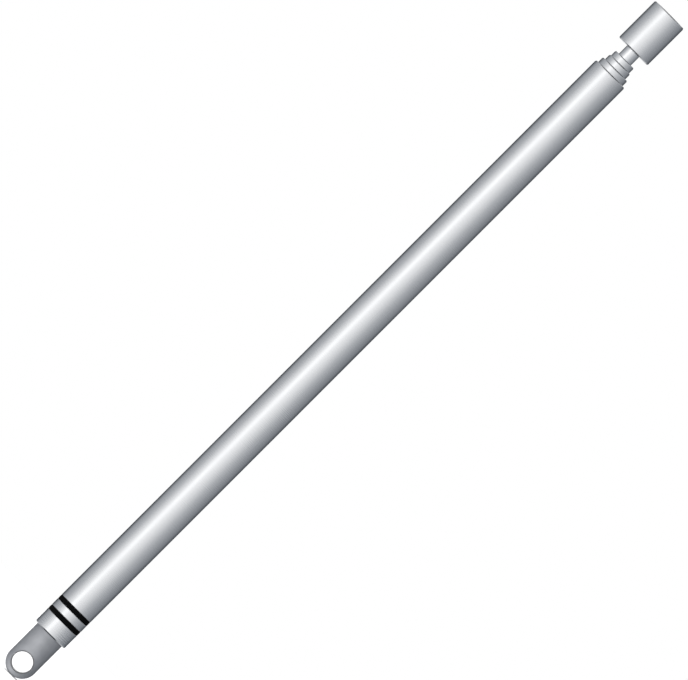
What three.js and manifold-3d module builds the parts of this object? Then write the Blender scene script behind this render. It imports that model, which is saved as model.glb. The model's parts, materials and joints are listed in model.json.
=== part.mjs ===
// Four-stage, single-acting telescopic hydraulic cylinder, standing upright and fully retracted.
//
// Millimetres, +Z up along the cylinder's axis. The origin is the centre of the base pin hole, and
// the pin runs along Y. Oil enters the base cap from the +Y side, lifts the three sleeves and then
// the plunger, and the load pushes them back down. The hollows are drawn open, ready for the oil.

import * as THREE from "three";
import { mergeVertices } from "three/addons/utils/BufferGeometryUtils.js";
import Module from "manifold-3d";

const wasm = await Module();
wasm.setup();

// ---------------------------------------------------------------- driving dimensions

const SEGMENTS = 24; // sides of every turned piece, so that nested pieces keep their clearance
const HOLE_SEGMENTS = 12; // sides of a small drilled hole or a screw

const BARREL_R = 47.5;
const PLUNGER_R = 20;
const SLEEVE_WALLS = [3.75, 3.25, 3.75]; // stage 1, the widest sleeve, to stage 3
const NUT_R = [40.65, 33.8, 30.25]; // gland nuts of stages 1 to 3
const BORE_GAP = 2.5; // radial room between a sleeve and the bore it slides in
const STROKE = 1575; // travel of each of the four moving stages

const EYE_R = 40; // radius of the lug, a round bar, and of its end about the pin
const EYE_END_CLEAR = 0.05; // the end's cutting outline stands this far off the bar's sides
const EYE_PIN_R = 25.5;
const EYE_BUSH_WALL = 2.5;

const SHOULDER_Z = 91.5; // where the lug meets the base cap
const BASE_CAP_HEIGHT = 41.5;
const BAND_HEIGHT = 13.25;
const LOCK_RING_HEIGHT = 20;
const BARREL_TOP_Z = 1964;
const NUT_PITCH = 16.2; // each sleeve's nut stands this far above the one outside it
const PLUNGER_SHOWN = 27.4; // plunger seen between the last nut and the head
const HEAD_LENGTH = 122;

// ---------------------------------------------------------------- fits and details

const SEAT_GAP = 0.25; // between two faces that rest on each other
const SLIP = 0.25; // radial clearance of a seal or bearing on the surface that slides in it
const SEATED = 0.2; // clearance of a piece in its own seat or groove
const CHAMFER = 1;
const CUT_PAST = 1; // how far a hole's cutter runs past the face it opens in

const PACKING_STEP = 1.3; // a bore widens by this for its guide bush and rod seal
const BUSH_HEIGHT = 25;
const SEAL_HEIGHT = 8;
const PACKING_DEPTH = BUSH_HEIGHT + SEAL_HEIGHT + 4 * SEAT_GAP;
const NUT_SKIRT = 7.95; // part of a sleeve's nut that screws over the sleeve
const NUT_LIP = 2; // top lip that keeps the wiper in
const WIPER_GROOVE_HEIGHT = 5;
const WIPER_GROOVE_DEPTH = 3.3;
const NUT_BORE_GAP = 0.3;
const BARREL_NUT_HEIGHT = 22;
const BARREL_NUT_R = 43.4;

const FOOT_LIP = 8; // inward lip at a sleeve's foot, which carries the next stage
const FOOT_LIP_REACH = 3; // how far the lip reaches under the next stage's wall
const FOOT_GAP = 0.5;
const BOTTOM_GAP = 1; // oil space under the widest sleeve when it is down
const FOOT_COLLAR_GAP = 0.5; // between the collar at a sliding tube's foot and the bore around it
const FOOT_GUIDE_HEIGHT = 20;
const FOOT_GROOVE_DEPTH = 1;
const STOP_RING_HEIGHT = 5;
const STOP_GROOVE_DEPTH = 1.2;

const SPIGOT_TOP_Z = 215;
const SPIGOT_R = 40.45;
const SPIGOT_THREAD_R = 41.7;
const BARREL_THREAD_R = 42;
const THREAD_TOP_Z = 200;
const BAND_SEAT_R = 44.5;
const ORING_GROOVE_R = 38.2;
const ORING_Z = 204;
const ORING_HEIGHT = 5;
const SHANK_R = 24;
const SHANK_TOP_Z = 107;
const GALLERY_R = 8;
const GALLERY_FOOT_Z = 110;

const PORT_Z = 118;
const PORT_R = 7.5;
const PORT_FACE_R = 14;
const PORT_FACE_Y = 44.8;

const PLUNGER_BORE_R = 13;
const STUD_R = 15.8;
const STUD_LENGTH = 38;
const STUD_SHANK = 60;
const BLEED_BORE_R = 3;
const LOAD_THREAD_R = 13.25; // tapped hole in the head for the load
const LOAD_THREAD_DEPTH = 45;
const BLEED_Z_ABOVE_HEAD_FOOT = 57;
const BLEED_RECESS_R = 10.5;
const BLEED_SEAT_Y = 40;
const BLEED_THREAD_R = 5.1;
const BLEED_THREAD_END_Y = 24;
const BLEED_HEX_R = 7.5;
const BLEED_HEX_HEIGHT = 5.5;
const SET_SCREW_R = 4;
const SET_SCREW_LENGTH = 30;
const SET_SCREW_ANGLES = [45, 135]; // degrees from +X towards +Y
const SET_SCREW_SOCKET = 0.55; // of the screw's radius
const HOOK_HOLE_R = 4; // for a hook spanner, in the lock ring
const HOOK_HOLE_DEPTH = 4;
const PIN_HOLE_DEPTH = 4; // for a pin spanner, in the top faces of the nuts
const PIN_HOLE_MAX_R = 2;
const PIN_HOLES = 4;

// ---------------------------------------------------------------- worked-out sizes

// Sleeve radii from the plunger outwards, each one a gap and a wall larger than the last.
const sleeves = [];
let shaftR = PLUNGER_R;
for (const stage of [3, 2, 1]) {
  const inner = shaftR + BORE_GAP;
  const outer = inner + SLEEVE_WALLS[stage - 1];
  sleeves.unshift({ stage, inner, outer, shaft: shaftR, nut: NUT_R[stage - 1] });
  shaftR = outer;
}
const BARREL_BORE_R = shaftR + BORE_GAP;

const CAP_TOP_Z = SHOULDER_Z + BASE_CAP_HEIGHT;
const LOCK_RING_Z = CAP_TOP_Z + BAND_HEIGHT;
const BARREL_FOOT_Z = LOCK_RING_Z + LOCK_RING_HEIGHT;
const UPPER_BAND_TOP_Z = BARREL_FOOT_Z + BAND_HEIGHT;
const HEAD_FOOT_Z = BARREL_TOP_Z + 3 * NUT_PITCH + PLUNGER_SHOWN;
const HEAD_TOP_Z = HEAD_FOOT_Z + HEAD_LENGTH;

// Heights of sleeve or plunger number i: its foot, and the end of its tube under the nut.
const footZ = (i) => SPIGOT_TOP_Z + BOTTOM_GAP + (i - 1) * (FOOT_LIP + FOOT_GAP);
const nutFootZ = (i) => BARREL_TOP_Z + (i - 1) * NUT_PITCH + SEAT_GAP;
const tubeEndZ = (i) => nutFootZ(i) + NUT_SKIRT - SEAT_GAP;
// The lowest face of the guide bush at the top of a bore whose packing starts at packingTop.
const bushFootZ = (packingTop) => packingTop - 2 * SEAT_GAP - SEAL_HEIGHT - SEAT_GAP - BUSH_HEIGHT;

// ---------------------------------------------------------------- shape helpers

// A turned piece. The outline is [radius, height] pairs going up the outside; it starts and ends on
// the axis, or closes on itself.
function turned(outline) {
  const onAxis = outline[0][0] === 0;
  const points = onAxis ? outline : [...outline, outline[0]];
  const profile = points.map(([r, z]) => new THREE.Vector2(r, z));
  return new THREE.LatheGeometry(profile, SEGMENTS).rotateX(Math.PI / 2);
}

function ring(inner, outer, z0, z1) {
  return turned([
    [inner, z0],
    [outer, z0],
    [outer, z1],
    [inner, z1],
  ]);
}

// A rod from radius `from` to radius `to` out from the axis, at a height and an angle from +X.
function radialRod(radius, from, to, z, degrees, sides = HOLE_SEGMENTS) {
  const rod = new THREE.CylinderGeometry(radius, radius, to - from, sides);
  rod.translate(0, (from + to) / 2, 0);
  rod.rotateZ(THREE.MathUtils.degToRad(degrees - 90));
  return rod.translate(0, 0, z);
}

// A rod along Z centred at (x, y).
function uprightRod(radius, x, y, z0, z1, sides = HOLE_SEGMENTS) {
  const rod = new THREE.CylinderGeometry(radius, radius, z1 - z0, sides).rotateX(Math.PI / 2);
  return rod.translate(x, y, (z0 + z1) / 2);
}

function toSolid(geometry) {
  const bare = geometry.clone();
  bare.deleteAttribute("normal");
  bare.deleteAttribute("uv");
  const merged = mergeVertices(bare, 1e-4);
  const mesh = new wasm.Mesh({
    numProp: 3,
    vertProperties: merged.attributes.position.array,
    triVerts: new Uint32Array(merged.index.array),
  });
  return new wasm.Manifold(mesh);
}

function toGeometry(solid) {
  const mesh = solid.getMesh();
  const geometry = new THREE.BufferGeometry();
  geometry.setAttribute("position", new THREE.BufferAttribute(mesh.vertProperties, 3));
  geometry.setIndex(new THREE.BufferAttribute(mesh.triVerts, 1));
  geometry.computeVertexNormals();
  return geometry;
}

function cut(geometry, ...tools) {
  let solid = toSolid(geometry);
  for (const tool of tools) solid = solid.subtract(toSolid(tool));
  return toGeometry(solid);
}

// ---------------------------------------------------------------- materials

const steel = (color, roughness) =>
  new THREE.MeshStandardMaterial({ color, roughness, metalness: 1 });
const moulded = (color, roughness) =>
  new THREE.MeshStandardMaterial({ color, roughness, metalness: 0 });

const brightSteel = steel(0xc9ccd1, 0.32);
const chromedSteel = steel(0xd6d9dd, 0.16);
const forgedSteel = steel(0x8b8f94, 0.55);
const hardenedSteel = steel(0x7d8185, 0.4);
const springSteel = steel(0x4a4d52, 0.45);
const zincedSteel = steel(0xb9bcc0, 0.35);
const bearingBronze = steel(0xb5894f, 0.4);
const blackRubber = moulded(0x0b0b0c, 0.7);
const sealPolyurethane = moulded(0x1f4f86, 0.45);
const guideResin = moulded(0x7a4a2a, 0.6);

const cylinder = new THREE.Group();

function addPiece(group, name, geometry, material) {
  const mesh = new THREE.Mesh(geometry, material);
  mesh.name = name;
  group.add(mesh);
  return mesh;
}

// ---------------------------------------------------------------- base end

// A prism along the pin: a half round below, straight sides above.
function eyeEnd() {
  const reach = EYE_R + EYE_END_CLEAR;
  const outline = new THREE.Shape();
  outline.absarc(0, EYE_END_CLEAR, reach, 0, -Math.PI, true);
  outline.lineTo(-reach, SHANK_TOP_Z + CUT_PAST);
  outline.lineTo(reach, SHANK_TOP_Z + CUT_PAST);
  outline.closePath();
  const depth = 2 * EYE_R + CUT_PAST;
  const options = { depth, bevelEnabled: false, curveSegments: SEGMENTS / 2 };
  const prism = new THREE.ExtrudeGeometry(outline, options).rotateX(Math.PI / 2);
  return prism.translate(0, depth / 2, 0);
}

// A round bar, its end milled round about the pin, turned down at the top to a shank for the base cap.
function baseEye() {
  const blank = turned([
    [0, -EYE_R - CUT_PAST],
    [EYE_R, -EYE_R - CUT_PAST],
    [EYE_R, SHOULDER_Z - SEAT_GAP],
    [SHANK_R, SHOULDER_Z - SEAT_GAP],
    [SHANK_R, SHANK_TOP_Z - SEAT_GAP],
    [0, SHANK_TOP_Z - SEAT_GAP],
  ]);
  const bar = toGeometry(toSolid(blank).intersect(toSolid(eyeEnd())));
  const boreR = EYE_PIN_R + EYE_BUSH_WALL;
  return cut(bar, new THREE.CylinderGeometry(boreR, boreR, 2 * EYE_R + CUT_PAST, SEGMENTS));
}

// The bush is as long as the bar is wide, so its ends stand out as faces for the clevis.
function eyeBush() {
  const outer = EYE_PIN_R + EYE_BUSH_WALL - SEATED;
  return ring(EYE_PIN_R, outer, -EYE_R, EYE_R).rotateX(Math.PI / 2);
}

// Socket for the lug's shank below, threaded spigot for the barrel above, oil gallery inside.
function baseCap() {
  const body = turned([
    [0, SHANK_TOP_Z],
    [SHANK_R + SEATED, SHANK_TOP_Z],
    [SHANK_R + SEATED, SHOULDER_Z],
    [BARREL_R - CHAMFER, SHOULDER_Z],
    [BARREL_R, SHOULDER_Z + CHAMFER],
    [BARREL_R, CAP_TOP_Z],
    [BAND_SEAT_R, CAP_TOP_Z],
    [BAND_SEAT_R, LOCK_RING_Z],
    [SPIGOT_THREAD_R, LOCK_RING_Z],
    [SPIGOT_THREAD_R, THREAD_TOP_Z - CHAMFER],
    [SPIGOT_R, THREAD_TOP_Z - CHAMFER],
    [SPIGOT_R, ORING_Z],
    [ORING_GROOVE_R, ORING_Z],
    [ORING_GROOVE_R, ORING_Z + ORING_HEIGHT],
    [SPIGOT_R, ORING_Z + ORING_HEIGHT],
    [SPIGOT_R, SPIGOT_TOP_Z],
    [GALLERY_R, SPIGOT_TOP_Z],
    [GALLERY_R, GALLERY_FOOT_Z],
    [0, GALLERY_FOOT_Z],
  ]);
  const outside = BARREL_R + CUT_PAST;
  const port = radialRod(PORT_R, 0, outside, PORT_Z, 90);
  const spotFace = radialRod(PORT_FACE_R, PORT_FACE_Y, outside, PORT_Z, 90, SEGMENTS);
  return cut(body, port, spotFace);
}

function lockRing() {
  const z0 = LOCK_RING_Z + SEAT_GAP;
  const z1 = BARREL_FOOT_Z - SEAT_GAP;
  const body = ring(SPIGOT_THREAD_R + SLIP, BARREL_R, z0, z1);
  const holeEnd = BARREL_R - HOOK_HOLE_DEPTH;
  return cut(body, radialRod(HOOK_HOLE_R, holeEnd, BARREL_R + CUT_PAST, (z0 + z1) / 2, 90));
}

const band = (z0) =>
  ring(BAND_SEAT_R + SEATED, BARREL_R, z0 + SEATED, z0 + BAND_HEIGHT - SEATED);

function baseSealRing() {
  const z0 = ORING_Z + SEATED;
  return ring(ORING_GROOVE_R + SEATED, BARREL_BORE_R - SEATED, z0, z0 + ORING_HEIGHT - 2 * SEATED);
}

// ---------------------------------------------------------------- barrel

const BARREL_PACKING_Z = BARREL_TOP_Z - BARREL_NUT_HEIGHT;

function barrelTube() {
  const mouth = BARREL_NUT_R + SEATED;
  const packing = BARREL_BORE_R + PACKING_STEP;
  return turned([
    [BARREL_THREAD_R, BARREL_FOOT_Z],
    [BAND_SEAT_R, BARREL_FOOT_Z],
    [BAND_SEAT_R, UPPER_BAND_TOP_Z],
    [BARREL_R, UPPER_BAND_TOP_Z],
    [BARREL_R, BARREL_TOP_Z - CHAMFER],
    [BARREL_R - CHAMFER, BARREL_TOP_Z],
    [mouth, BARREL_TOP_Z],
    [mouth, BARREL_PACKING_Z - SEAT_GAP],
    [packing, BARREL_PACKING_Z - SEAT_GAP],
    [packing, BARREL_PACKING_Z - PACKING_DEPTH],
    [BARREL_BORE_R, BARREL_PACKING_Z - PACKING_DEPTH],
    [BARREL_BORE_R, THREAD_TOP_Z],
    [BARREL_THREAD_R, THREAD_TOP_Z],
  ]);
}

// The wiper groove of a nut whose top face is at z1, as outline points going down its bore.
function wiperGroove(shaft, z1) {
  const bore = shaft + NUT_BORE_GAP;
  const floor = shaft + WIPER_GROOVE_DEPTH;
  const top = z1 - NUT_LIP;
  return [
    [bore, z1],
    [bore, top],
    [floor, top],
    [floor, top - WIPER_GROOVE_HEIGHT],
    [bore, top - WIPER_GROOVE_HEIGHT],
  ];
}

// Blind holes for a pin spanner, in the part of a nut's top face from radius `inner` to `outer`.
function pinHoles(inner, outer, z1) {
  const circle = (inner + outer) / 2;
  const radius = Math.min(PIN_HOLE_MAX_R, (outer - inner) / 3);
  const holes = [];
  for (let i = 0; i < PIN_HOLES; i++) {
    const angle = ((i + 0.5) / PIN_HOLES) * 2 * Math.PI;
    const x = circle * Math.cos(angle);
    const y = circle * Math.sin(angle);
    holes.push(uprightRod(radius, x, y, z1 - PIN_HOLE_DEPTH, z1 + CUT_PAST, HOLE_SEGMENTS / 2));
  }
  return holes;
}

// A flush ring nut, screwed into the barrel's mouth.
function barrelGlandNut(shaft) {
  const body = turned([
    [shaft + NUT_BORE_GAP, BARREL_PACKING_Z],
    [BARREL_NUT_R, BARREL_PACKING_Z],
    [BARREL_NUT_R, BARREL_TOP_Z - SEAT_GAP],
    ...wiperGroove(shaft, BARREL_TOP_Z - SEAT_GAP),
  ]);
  return cut(body, ...pinHoles(NUT_R[0], BARREL_NUT_R, BARREL_TOP_Z - SEAT_GAP));
}

function wiper(shaft, nutTop) {
  const z1 = nutTop - NUT_LIP - SEAT_GAP;
  const z0 = z1 - WIPER_GROOVE_HEIGHT + 2 * SEAT_GAP;
  return ring(shaft + SLIP, shaft + WIPER_GROOVE_DEPTH - SEATED, z0, z1);
}

function rodSeal(shaft, packingTop) {
  const z1 = packingTop - 2 * SEAT_GAP;
  const outer = shaft + BORE_GAP + PACKING_STEP - SEATED;
  return ring(shaft + SLIP, outer, z1 - SEAL_HEIGHT, z1);
}

function guideBush(shaft, packingTop) {
  const z0 = bushFootZ(packingTop);
  const outer = shaft + BORE_GAP + PACKING_STEP - SEATED;
  return ring(shaft + SLIP, outer, z0, z0 + BUSH_HEIGHT);
}

function addPacking(group, name, shaft, packingTop, nutTop) {
  addPiece(group, `${name}_wiper`, wiper(shaft, nutTop), sealPolyurethane);
  addPiece(group, `${name}_rod_seal`, rodSeal(shaft, packingTop), sealPolyurethane);
  addPiece(group, `${name}_guide_bush`, guideBush(shaft, packingTop), bearingBronze);
}

// ---------------------------------------------------------------- moving stages

// The stop ring meets the guide bush above it after one stroke.
const stopRingZ = (packingTop) => bushFootZ(packingTop) - SEAT_GAP - STROKE - STOP_RING_HEIGHT;

// The outside of a sliding tube, going up: the foot collar, then grooves for the foot guide, which
// rests on the collar, and the stop ring.
function slidingWall(outer, bore, foot, stopZ) {
  const collar = bore - FOOT_COLLAR_GAP;
  const guideZ = foot + FOOT_LIP;
  const guideTop = guideZ + FOOT_GUIDE_HEIGHT + 2 * SEATED;
  const stopTop = stopZ + STOP_RING_HEIGHT + SEATED;
  return [
    [collar, foot],
    [collar, guideZ],
    [outer - FOOT_GROOVE_DEPTH, guideZ],
    [outer - FOOT_GROOVE_DEPTH, guideTop],
    [outer, guideTop],
    [outer, stopZ - SEATED],
    [outer - STOP_GROOVE_DEPTH, stopZ - SEATED],
    [outer - STOP_GROOVE_DEPTH, stopTop],
    [outer, stopTop],
  ];
}

function sleeveTube({ stage, inner, outer, shaft }, bore, stopZ) {
  const foot = footZ(stage);
  const end = tubeEndZ(stage);
  const lip = shaft - FOOT_LIP_REACH;
  const packing = inner + PACKING_STEP;
  return turned([
    [lip, foot],
    ...slidingWall(outer, bore, foot, stopZ),
    [outer, end],
    [packing, end],
    [packing, end - PACKING_DEPTH],
    [inner, end - PACKING_DEPTH],
    [inner, foot + FOOT_LIP],
    [lip, foot + FOOT_LIP],
  ]);
}

// A ring nut that screws over the end of its sleeve and rests on the nut outside it.
function sleeveNut({ stage, outer, shaft, nut }, shownFrom) {
  const foot = nutFootZ(stage);
  const top = BARREL_TOP_Z + stage * NUT_PITCH;
  const web = foot + NUT_SKIRT;
  const body = turned([
    [outer + SEATED, foot],
    [nut, foot],
    [nut, top],
    ...wiperGroove(shaft, top),
    [shaft + NUT_BORE_GAP, web],
    [outer + SEATED, web],
  ]);
  return cut(body, ...pinHoles(shownFrom, nut, top));
}

function footGuide(outer, bore, foot) {
  const z0 = foot + FOOT_LIP + SEATED;
  return ring(outer - FOOT_GROOVE_DEPTH + SEATED, bore - SLIP, z0, z0 + FOOT_GUIDE_HEIGHT);
}

function stopRing(outer, bore, z0) {
  return ring(outer - STOP_GROOVE_DEPTH + SEATED, bore - 2 * SLIP, z0, z0 + STOP_RING_HEIGHT);
}

function addSleeve(sleeve, bore, stopZ) {
  const { stage, outer, shaft } = sleeve;
  const group = new THREE.Group();
  const name = `stage_${stage}`;
  const nutTop = BARREL_TOP_Z + stage * NUT_PITCH;
  const nextNut = stage < 3 ? NUT_R[stage] : PLUNGER_R;
  addPiece(group, `${name}_tube`, sleeveTube(sleeve, bore, stopZ), chromedSteel);
  addPiece(group, `${name}_gland_nut`, sleeveNut(sleeve, nextNut), brightSteel);
  addPacking(group, name, shaft, tubeEndZ(stage), nutTop);
  addPiece(group, `${name}_foot_guide`, footGuide(outer, bore, footZ(stage)), guideResin);
  addPiece(group, `${name}_stop_ring`, stopRing(outer, bore, stopZ), springSteel);
  cylinder.add(group);
}

// ---------------------------------------------------------------- plunger and head

function plungerTube(bore, stopZ) {
  const foot = footZ(4);
  return turned([
    [PLUNGER_BORE_R, foot],
    ...slidingWall(PLUNGER_R, bore, foot, stopZ),
    [PLUNGER_R, HEAD_FOOT_Z],
    [PLUNGER_BORE_R, HEAD_FOOT_Z],
  ]);
}

// Closes the plunger and carries the head; the drilling lets trapped air up to the bleed screw.
function plungerStud() {
  const z0 = HEAD_FOOT_Z + SEAT_GAP;
  const shankR = PLUNGER_BORE_R - SEATED;
  return turned([
    [BLEED_BORE_R, z0 - STUD_SHANK],
    [shankR, z0 - STUD_SHANK],
    [shankR, z0],
    [STUD_R, z0],
    [STUD_R, z0 + STUD_LENGTH - CHAMFER],
    [STUD_R - CHAMFER, z0 + STUD_LENGTH],
    [BLEED_BORE_R, z0 + STUD_LENGTH],
  ]);
}

const BLEED_Z = HEAD_FOOT_Z + BLEED_Z_ABOVE_HEAD_FOOT;
const SET_SCREW_Z = HEAD_FOOT_Z + STUD_LENGTH / 2;
const SOCKET_R = STUD_R + SEATED;

function head() {
  const foot = HEAD_FOOT_Z + SEAT_GAP;
  const socketTop = foot + STUD_LENGTH + SEAT_GAP;
  const outside = BARREL_R + CUT_PAST;
  const body = turned([
    [0, socketTop],
    [SOCKET_R, socketTop],
    [SOCKET_R, foot],
    [BARREL_R - CHAMFER, foot],
    [BARREL_R, foot + CHAMFER],
    [BARREL_R, HEAD_TOP_Z - CHAMFER],
    [BARREL_R - CHAMFER, HEAD_TOP_Z],
    [LOAD_THREAD_R, HEAD_TOP_Z],
    [LOAD_THREAD_R, HEAD_TOP_Z - LOAD_THREAD_DEPTH],
    [0, HEAD_TOP_Z - LOAD_THREAD_DEPTH],
  ]);
  const screwHoles = SET_SCREW_ANGLES.map((degrees) =>
    radialRod(SET_SCREW_R + SEATED, SOCKET_R - CUT_PAST, outside, SET_SCREW_Z, degrees),
  );
  return cut(
    body,
    uprightRod(BLEED_BORE_R, 0, 0, socketTop - CUT_PAST, BLEED_Z),
    radialRod(BLEED_BORE_R, 0, BLEED_THREAD_END_Y + CUT_PAST, BLEED_Z, 90),
    radialRod(BLEED_THREAD_R, BLEED_THREAD_END_Y, outside, BLEED_Z, 90),
    radialRod(BLEED_RECESS_R, BLEED_SEAT_Y, outside, BLEED_Z, 90, SEGMENTS),
    ...screwHoles,
  );
}

function setScrew(degrees) {
  const tip = STUD_R + 2 * SEAT_GAP;
  const end = tip + SET_SCREW_LENGTH;
  const body = radialRod(SET_SCREW_R, tip, end, SET_SCREW_Z, degrees);
  const socketR = SET_SCREW_R * SET_SCREW_SOCKET;
  return cut(body, radialRod(socketR, end - SET_SCREW_R, end + CUT_PAST, SET_SCREW_Z, degrees, 6));
}

function bleedScrew() {
  const seat = BLEED_SEAT_Y + SEAT_GAP;
  const tip = BLEED_THREAD_END_Y + SEAT_GAP;
  const shank = radialRod(BLEED_THREAD_R - SEATED, tip, seat + CUT_PAST, BLEED_Z, 90);
  const hexHead = radialRod(BLEED_HEX_R, seat, seat + BLEED_HEX_HEIGHT, BLEED_Z, 90, 6);
  return toGeometry(toSolid(shank).add(toSolid(hexHead)));
}

// ---------------------------------------------------------------- assembly

const base = new THREE.Group();
addPiece(base, "base_eye", baseEye(), forgedSteel);
addPiece(base, "eye_bush", eyeBush(), hardenedSteel);
addPiece(base, "base_cap", baseCap(), brightSteel);
addPiece(base, "lower_band", band(CAP_TOP_Z), blackRubber);
addPiece(base, "lock_ring", lockRing(), brightSteel);
addPiece(base, "upper_band", band(BARREL_FOOT_Z), blackRubber);
addPiece(base, "base_seal_ring", baseSealRing(), blackRubber);
addPiece(base, "barrel_tube", barrelTube(), brightSteel);
addPiece(base, "barrel_gland_nut", barrelGlandNut(sleeves[0].outer), brightSteel);
addPacking(base, "barrel", sleeves[0].outer, BARREL_PACKING_Z, BARREL_TOP_Z - SEAT_GAP);
cylinder.add(base);

let bore = BARREL_BORE_R;
let packingTop = BARREL_PACKING_Z;
for (const sleeve of sleeves) {
  addSleeve(sleeve, bore, stopRingZ(packingTop));
  bore = sleeve.inner;
  packingTop = tubeEndZ(sleeve.stage);
}

const plunger = new THREE.Group();
const plungerStopZ = stopRingZ(packingTop);
addPiece(plunger, "plunger_tube", plungerTube(bore, plungerStopZ), chromedSteel);
addPiece(plunger, "plunger_stud", plungerStud(), zincedSteel);
addPiece(plunger, "plunger_foot_guide", footGuide(PLUNGER_R, bore, footZ(4)), guideResin);
addPiece(plunger, "plunger_stop_ring", stopRing(PLUNGER_R, bore, plungerStopZ), springSteel);
addPiece(plunger, "head", head(), brightSteel);
SET_SCREW_ANGLES.forEach((degrees, i) => {
  addPiece(plunger, `head_set_screw_${i + 1}`, setScrew(degrees), zincedSteel);
});
addPiece(plunger, "bleed_screw", bleedScrew(), zincedSteel);
cylinder.add(plunger);

export default cylinder;
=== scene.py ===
import json
import math

import bmesh
import bpy
from mathutils import Matrix, Vector


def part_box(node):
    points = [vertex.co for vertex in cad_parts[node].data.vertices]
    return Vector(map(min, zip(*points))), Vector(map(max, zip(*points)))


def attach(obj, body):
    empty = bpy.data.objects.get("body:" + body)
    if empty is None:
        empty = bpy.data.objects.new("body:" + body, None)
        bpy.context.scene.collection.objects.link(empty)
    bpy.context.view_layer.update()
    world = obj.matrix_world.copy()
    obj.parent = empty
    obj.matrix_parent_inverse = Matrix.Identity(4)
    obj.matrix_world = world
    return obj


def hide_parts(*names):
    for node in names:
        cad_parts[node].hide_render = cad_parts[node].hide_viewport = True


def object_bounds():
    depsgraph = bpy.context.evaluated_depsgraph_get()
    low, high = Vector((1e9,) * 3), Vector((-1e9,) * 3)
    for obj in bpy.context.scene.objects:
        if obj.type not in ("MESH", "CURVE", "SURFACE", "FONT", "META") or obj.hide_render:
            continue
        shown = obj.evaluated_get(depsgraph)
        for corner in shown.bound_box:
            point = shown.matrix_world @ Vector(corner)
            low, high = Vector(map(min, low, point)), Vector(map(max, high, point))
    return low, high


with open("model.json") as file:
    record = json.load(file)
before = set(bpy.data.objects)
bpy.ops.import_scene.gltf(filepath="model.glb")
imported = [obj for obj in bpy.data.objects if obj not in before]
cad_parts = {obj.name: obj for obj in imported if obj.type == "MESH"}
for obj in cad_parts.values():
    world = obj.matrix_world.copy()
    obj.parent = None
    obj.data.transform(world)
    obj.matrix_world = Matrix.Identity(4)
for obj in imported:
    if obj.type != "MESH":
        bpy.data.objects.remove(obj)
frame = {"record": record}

CAD_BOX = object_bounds()

# ------------------------------------------------------------------ sizes, in millimetres
# Outer sizes and places come from the frame. These are the details inside them.

MM = 0.001
SIDES = 192            # round the large turned pieces
DRILL_SIDES = 96       # round the head's tapped and stepped holes, the stud's thread and the spot face
SMALL_SIDES = 64       # round the port's thread and the other drilled holes
SCREW_SIDES = 48       # round the screws
PIN_SIDES = 32         # round the pin-spanner holes and the set screws' cups
RING_POINTS = 20       # round the section of the O-ring
SHARP = math.radians(32)           # edges that turn more than this stay sharp
SOFT = 4               # steps in a rounded corner
FAR = 40.0             # spacing of rows along a long plain run
CLOSE = 6.0            # the same on most pieces that are drilled afterwards
EYE_ROWS = 2.0         # the same on the lug, whose wide hole leaves through a round side
RUN_END = 1.5          # distance of a long run's first and last rows from its ends
OVERCUT = 0.05         # how far a thread's cutter reaches past the face it opens into
THROUGH = 1.0          # the same for a plain drilling
SLIVER = 2e-6          # shortest edge that a cut may leave, in metres
CORNER_SHARE = 0.45    # most of an edge that a chamfer at one of its ends may use up

SEAT_GAP = 0.25        # between faces that rest on each other or slide
BAND_GAP = 0.2         # round a piece in its own seat or groove
EDGE = 0.5             # usual broken edge
WIDE_EDGE = 1.0
FINE_EDGE = 0.3
NICK = 0.2             # edge only just broken
LEAD, LEAD_IN = 3.0, 1.8          # steep chamfer at the top of the barrel and head: length and depth
NUT_LEAD, NUT_LEAD_IN = 2.6, 1.55  # the same on the sleeves' nuts
NUT_ROW = 0.93         # a row this far up that chamfer keeps most of the pin holes' wear off it
FOOT_EDGE = 2.4        # even chamfer at the foot of the cap and head

EYE_END_ROWS = 64
EYE_CORNER = 16        # how tight the corners of the lug's end are: higher is tighter
EYE_BUSH_WALL = 2.3
GREASE_HALF = 3.0      # half the width of the grease groove in the bush
GREASE_FLOOR_HALF = 2.0            # the same at its floor
GREASE_DEPTH = 0.8
GREASE_CORNER = 0.4
SHANK_R = 24.0
BAND_SEAT = 3.0        # depth of the rebates under the rubber bands
BAND_SHOULDER = 0.35   # how much narrower a band is at its ends than in the middle
BAND_CROWN = 0.06      # the same a quarter of the way in
BAND_ROUND = 0.8
SPIGOT_THREAD_R = 41.7
SPIGOT_THREAD_TOP = 199.0
SPIGOT_R = 40.45
SEAL_GROOVE_R = 38.2
GALLERY_R = 8.0
GALLERY_FOOT = 110.0
PORT_R = 7.5
PORT_CREST = 0.75      # depth of the port's thread
PORT_MOUTH = 1.2       # countersink of its thread
PORT_DRILL_R = 7.0
PORT_DRILL_Y = -0.3    # the drilling just passes the middle of the gallery
PORT_PITCH = 1.34
PORT_THREAD_DEPTH = 16.0
SPOT_FACE_R = 14.0
SPOT_CUTTER_HEIGHT = 10.0
SPOT_FACE_ROW = 3.0    # a row this far outside the port keeps its wear off the spot face
HOOK_HOLE_R = 4.0
BARREL_THREAD_GAP = 0.3            # between the barrel's thread and the spigot's
BARREL_THREAD_OVER = 1.0           # how far it reaches past the spigot's

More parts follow.
